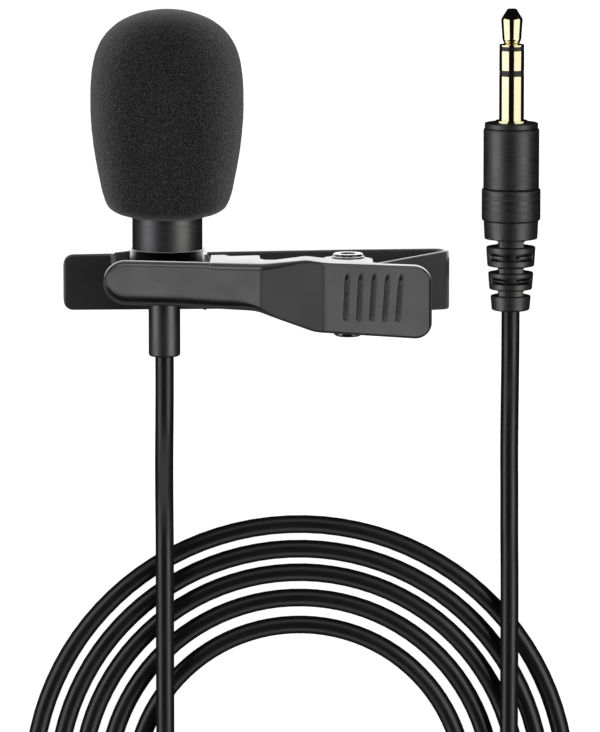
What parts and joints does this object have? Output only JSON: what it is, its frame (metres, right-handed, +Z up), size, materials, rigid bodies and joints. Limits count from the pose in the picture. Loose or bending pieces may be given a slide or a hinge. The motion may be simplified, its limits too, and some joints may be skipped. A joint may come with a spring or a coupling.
{
  "type": "lavalier microphone",
  "caption": "Clip-on lavalier microphone with a foam windscreen, a sprung tie clip, a coiled cord and a three-pole plug.",
  "frame": {"origin": "centre of the bounding box of the microphone with its clip, at its base, on the surface it lies on", "axes": "+Y along the microphone's axis towards the windscreen's tip, +X along the clip towards its thumb pad, +Z up from the surface"},
  "size_m": [0.0818, 0.1531, 0.0238],
  "materials": {
    "foam": "open-cell foam",
    "barrel_black": "satin black anodised",
    "steel": "bright steel",
    "rubber_black": "matt moulded rubber",
    "relief_black": "satin moulded sleeve",
    "board_green": "solder mask",
    "lead_red": "wire insulation",
    "plastic_black": "moulded black plastic",
    "lever_grey": "satin dark grey coating",
    "clip_black": "glossy black plating",
    "gold_contact": "polished gold plating",
    "shell_black": "turned black anodised aluminium",
    "cord_black": "smooth satin jacket"
  },
  "bodies": {
    "microphone": {"mic_barrel": "barrel_black", "grille_cap": "barrel_black", "grille_mesh": "steel", "capsule_can": "steel", "capsule_boot": "rubber_black", "capsule_board": "board_green", "lead_signal": "lead_red", "lead_ground": "plastic_black", "barrel_end_plug": "plastic_black", "mic_strain_relief": "relief_black", "cord_mic_run": "cord_black", "cord_coil": "cord_black", "cord_plug_run": "cord_black", "plug_tip": "gold_contact", "tip_insulator": "plastic_black", "plug_ring": "gold_contact", "ring_insulator": "plastic_black", "plug_sleeve": "gold_contact", "plug_flange": "gold_contact", "shell_front_ring": "shell_black", "plug_shell": "shell_black", "grip_collar": "shell_black", "plug_strain_relief": "rubber_black", "ring_terminal": "steel", "sleeve_tag": "steel"},
    "windscreen": {"foam_windscreen": "foam"},
    "clip_front": {"front_lever": "lever_grey", "mic_ring": "clip_black", "pivot_rivet": "clip_black", "rivet_washer": "clip_black", "torsion_spring": "steel"},
    "clip_back": {"back_strip": "clip_black"}
  },
  "joints": [
    {"name": "windscreen_pull", "type": "slide", "parent": "microphone", "child": "windscreen", "axis": [0, 1, 0], "range_m": [0, 0.022]},
    {"name": "clip_swivel", "type": "hinge", "parent": "microphone", "child": "clip_front", "pos_m": [-0.01242, -0.0146, 0.0107], "axis": [0, 1, 0], "continuous": true},
    {"name": "jaw_open", "type": "hinge", "parent": "clip_front", "child": "clip_back", "pos_m": [0.01278, -0.0146, 0.0159], "axis": [0, -1, 0], "range_deg": [0, 15], "stiffness_Nm_per_rad": 0.08, "springref_deg": -28.65, "deforming": ["torsion_spring"]}
  ]
}
